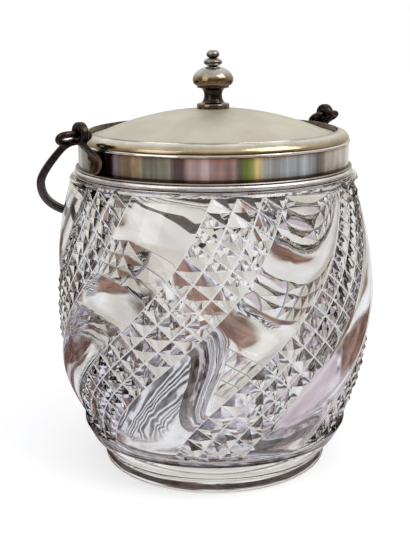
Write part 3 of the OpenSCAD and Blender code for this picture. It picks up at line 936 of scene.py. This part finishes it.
def make_camera():
    """The photo's view. Returns the directions to the camera and to its right, level."""
    a = math.radians(CAMERA_TURN)
    cam = bpy.data.cameras.new("camera")
    cam.sensor_width = SENSOR
    cam.lens = FOCAL_PX * SENSOR / FRAME_PX
    cam.clip_start = 0.01
    obj = bpy.data.objects.new("camera", cam)
    bpy.context.collection.objects.link(obj)
    back = Vector((math.sin(a), -math.cos(a), 0))
    side = Vector((math.cos(a), math.sin(a), 0))
    obj.location = back * CAMERA_DISTANCE + side * CAMERA_SIDE + Vector((0, 0, CAMERA_HEIGHT))
    look = Euler((math.radians(90 - CAMERA_DOWN), 0, a)).to_matrix()
    roll = Matrix.Rotation(math.radians(CAMERA_ROLL), 3, "Z")
    obj.rotation_euler = (look @ roll).to_euler()
    bpy.context.scene.camera = obj
    return back, side


def area_light(name, place, size, power):
    """A square light that points at the jar."""
    light = bpy.data.lights.new(name, "AREA")
    light.shape = "RECTANGLE"
    light.size = light.size_y = size
    light.energy = power
    obj = bpy.data.objects.new(name, light)
    bpy.context.collection.objects.link(obj)
    obj.location = place
    obj.rotation_euler = (Vector(LIGHT_TARGET) - place).to_track_quat("-Z", "Y").to_euler()


class Room(Tree):
    """What metal and glass show of a room, by direction from the jar."""

    def __init__(self, tree):
        super().__init__(tree)
        around = self.add(
            "ShaderNodeMapping",
            Vector=self.add("ShaderNodeTexCoord").outputs["Generated"],
            Rotation=(0, 0, -math.radians(CAMERA_TURN)),
        )
        self.coords = around.outputs["Vector"]
        split = self.add("ShaderNodeSeparateXYZ", Vector=self.coords)
        across, away, self.up = (split.outputs[axis] for axis in "XYZ")
        front = self.calc("MULTIPLY", away, -1.0)
        angle = self.calc("DIVIDE", self.calc("ARCTAN2", across, front), math.tau)
        self.turn = self.calc("ADD", angle, 0.5)
        ripple = self.calc("SUBTRACT", self.spots(6.0, 3.0), 0.5)
        self.turn_rough = self.shift(self.turn, ripple, TURN_ROUGH)
        self.up_rough = self.shift(self.up, ripple, HEIGHT_ROUGH)

    def patch(self, turn_low, turn_high, up_low, up_high):
        """1 in a patch of directions, with rough ends."""
        return self.calc(
            "MULTIPLY",
            self.window(self.turn_rough, turn_low, turn_high, TURN_SOFT),
            self.window(self.up_rough, up_low, up_high, HEIGHT_SOFT),
        )

    def things(self):
        """Things on the table in front of the jar, which the band mirrors as upright streaks."""
        streaks = self.calc("SUBTRACT", self.spots(14.0, 4.0, (1, 1, 0.1)), 0.5)
        colours = self.ramp(
            self.shift(self.turn, streaks, TURN_ROUGH),
            (0.1, srgb(70, 55, 50)),
            (0.2, srgb(38, 26, 22)),
            (0.243, srgb(45, 32, 36)),
            (0.25, srgb(225, 225, 245)),
            (0.268, srgb(205, 200, 215)),
            (0.274, srgb(190, 172, 140)),
            (0.33, srgb(205, 190, 160)),
            (0.336, srgb(120, 126, 122)),
            (0.4, srgb(168, 168, 160)),
            (0.408, srgb(88, 70, 74)),
            (0.432, srgb(100, 80, 86)),
            (0.44, srgb(170, 145, 150)),
            (0.486, srgb(206, 184, 190)),
            (0.5, srgb(160, 128, 132)),
            (0.545, srgb(186, 158, 162)),
            (0.552, srgb(100, 96, 92)),
            (0.563, srgb(104, 104, 92)),
            (0.567, srgb(140, 165, 90)),
            (0.585, srgb(130, 150, 84)),
            (0.59, srgb(232, 208, 140)),
            (0.607, srgb(224, 208, 160)),
            (0.615, srgb(214, 218, 228)),
            (0.642, srgb(165, 170, 178)),
            (0.72, srgb(190, 204, 216)),
            (0.765, srgb(120, 116, 118)),
            (0.8, srgb(185, 168, 156)),
            (0.83, srgb(122, 106, 98)),
        )
        lights = self.ramp(
            self.spots(30.0, 3.0, (1, 1, 0.08)),
            (0.34, (0.68, 0.66, 0.66)),
            (0.55, (1.2, 1.2, 1.2)),
        )
        return self.times(colours, lights)

    def clutter(self):
        """A cluttered table, light and neutral with dark places and faint tints."""
        tones = self.ramp(
            self.spots(5.5, 6.0, (1, 1, 1.6), 0.62),
            (0.38, srgb(60, 54, 62)),
            (0.46, srgb(140, 136, 148)),
            (0.53, srgb(208, 207, 216)),
            (0.62, srgb(244, 245, 252)),
        )
        tints = self.ramp(
            self.spots(13.0, 1.0),
            (0.4, (0.82, 0.9, 1.0)),
            (0.5, (1, 1, 1)),
            (0.62, (1.0, 0.88, 0.93)),
        )
        return self.times(tones, tints)

    def stripes(self):
        """A striped cloth."""
        waves = self.add(
            "ShaderNodeTexWave",
            Vector=self.coords,
            Scale=13.0,
            Distortion=13.0,
            Detail=1.0,
            Detail_Scale=0.8,
        )
        waves.bands_direction = "Z"
        return self.ramp(
            waves.outputs["Fac"],
            (0.15, srgb(62, 62, 68)),
            (0.5, srgb(116, 118, 124)),
            (0.85, srgb(228, 228, 234)),
        )

    def low(self):
        """Under the horizon: the table in front, and a wall with patches behind the jar."""
        clutter, stripes = self.clutter(), self.stripes()
        wood = self.ramp(
            self.spots(6.0, 4.0, (1, 1, 3)),
            (0.35, srgb(76, 54, 48)),
            (0.5, srgb(122, 88, 77)),
            (0.66, srgb(158, 120, 108)),
        )
        dark_wood = self.times(wood, (0.6, 0.6, 0.6))
        lilac = self.ramp(
            self.spots(3.0, 2.0), (0.4, srgb(192, 176, 186)), (0.6, srgb(222, 212, 220))
        )
        wall = self.ramp(
            self.spots(3.2, 2.0),
            (0.4, srgb(210, 208, 204)),
            (0.52, srgb(228, 226, 222)),
            (0.64, srgb(242, 243, 246)),
        )
        behind = self.blend(self.level(self.up_rough, 0.0, 1.0, *TABLE_BACK), clutter, wall)
        for colour, *edges in (
            (stripes, -0.1, 0.026, -0.7, -0.34),
            (stripes, 0.976, 1.1, -0.7, -0.42),
            (lilac, 0.74, 0.94, -0.78, -0.46),
            (wood, 0.785, 0.9, -0.43, -0.15),
            (wood, 0.944, 0.986, -0.42, -0.24),
            (wood, 0.026, 0.08, -0.54, -0.37),
            (dark_wood, 0.072, 0.2, -0.52, -0.16),
        ):
            behind = self.blend(self.patch(*edges), behind, colour)
        on_table = self.level(self.up_rough, 1.0, 0.0, *TABLE_TOP)
        fore = self.blend(on_table, self.things(), clutter)
        fore = self.blend(self.patch(0.74, 0.94, -0.78, -0.33), fore, lilac)
        return self.blend(self.window(self.turn, *FRONT, FRONT_SOFT), behind, fore)

    def high(self):
        """Over the horizon: a golden wall and bright windows in front, and pale walls."""
        climb = self.level(self.up_rough, 0.0, 1.0, WALL_LOW, 1.0)
        golden = self.ramp(
            climb,
            (0.0, srgb(46, 48, 62)),
            (0.04, srgb(70, 58, 45)),
            (0.08, srgb(120, 98, 62)),
            (0.3, srgb(158, 134, 92)),
            (0.5, srgb(190, 172, 138)),
            (0.62, srgb(240, 238, 232)),
            (0.85, srgb(250, 250, 250)),
            (1.0, srgb(220, 216, 208)),
        )
        pale = self.ramp(
            climb,
            (0.0, srgb(196, 191, 182)),
            (0.2, srgb(222, 217, 206)),
            (0.6, srgb(244, 243, 240)),
            (1.0, srgb(226, 223, 216)),
        )
        return self.blend(self.window(self.turn, *GOLDEN_FRONT, GOLDEN_SOFT), pale, golden)


def make_world():
    """White to the camera, soft light on matt things, and a room for metal and glass."""
    world = bpy.data.worlds.new("studio")
    bpy.context.scene.world = world
    world.use_nodes = True
    world.node_tree.nodes.clear()
    room = Room(world.node_tree)
    over = room.level(room.up, 0.0, 1.0, *HORIZON)
    shown = room.add("ShaderNodeBackground", Color=room.blend(over, room.low(), room.high()))
    plain = room.add("ShaderNodeBackground", Color=(1, 1, 1))
    soft = room.add("ShaderNodeBackground", Color=(0.92, 0.93, 0.95), Strength=0.75)
    path = room.add("ShaderNodeLightPath")
    shader = shown.outputs[0]
    for ray, light in (("Is Diffuse Ray", soft), ("Is Camera Ray", plain)):
        shader = room.mix_shader(path.outputs[ray], shader, light.outputs[0])
    room.add("ShaderNodeOutputWorld", Surface=shader)


def make_floor():
    """White table top with the jar's shadow. Metal and glass look past it at the room, but for
    a streaked brown ring under the foot's edge, which glows as a painted contact shadow."""
    bpy.ops.mesh.primitive_plane_add(size=FLOOR_SIZE, location=(0, 0, -FLOOR_SINK))
    floor = bpy.context.object
    floor.name = "floor"
    mat = bpy.data.materials.new("floor")
    mat.use_nodes = True
    mat.node_tree.nodes.clear()
    floor.data.materials.append(mat)
    t = Tree(mat.node_tree)
    t.coords = t.add("ShaderNodeTexCoord").outputs["Object"]
    path = t.add("ShaderNodeLightPath")
    diffuse = t.add("ShaderNodeBsdfDiffuse", Color=(0.84, 0.84, 0.85))
    glow = t.calc("MULTIPLY", path.outputs["Is Camera Ray"], FLOOR_GLOW)
    glowing = t.add("ShaderNodeEmission", Strength=glow)
    white = t.tree.nodes.new("ShaderNodeAddShader")
    t.feed(white, 0, diffuse.outputs[0])
    t.feed(white, 1, glowing.outputs[0])
    clear = t.add("ShaderNodeBsdfTransparent")
    # Painted contact shadow under the foot's edge, glowing in streaks of brown and grey, which
    # only metal and glass see
    streaks = t.ramp(t.spots(150.0, 2.0), (0.44, srgb(78, 58, 52)), (0.6, srgb(186, 180, 184)))
    shade = t.add("ShaderNodeEmission", Color=streaks)
    under = t.window(t.reach(), *CONTACT_SHADOW_RING, CONTACT_SHADOW_RING_SOFT)
    mirrored = t.mix_shader(under, clear.outputs[0], shade.outputs[0])
    by_jar = t.calc("MAXIMUM", path.outputs["Is Glossy Ray"], path.outputs["Is Transmission Ray"])
    shader = t.mix_shader(by_jar, white.outputs[0], mirrored)
    t.add("ShaderNodeOutputMaterial", Surface=shader)


glass = make_glass()
handle = make_handle()
soften_ears()
dress_all(glass, handle)
back, side = make_camera()
make_world()
make_floor()
for name, (near, right, high, size, power) in LIGHTS.items():
    area_light(name, back * near + side * right + Vector((0, 0, high)), size, power)
bpy.context.scene.view_settings.view_transform = "Standard"
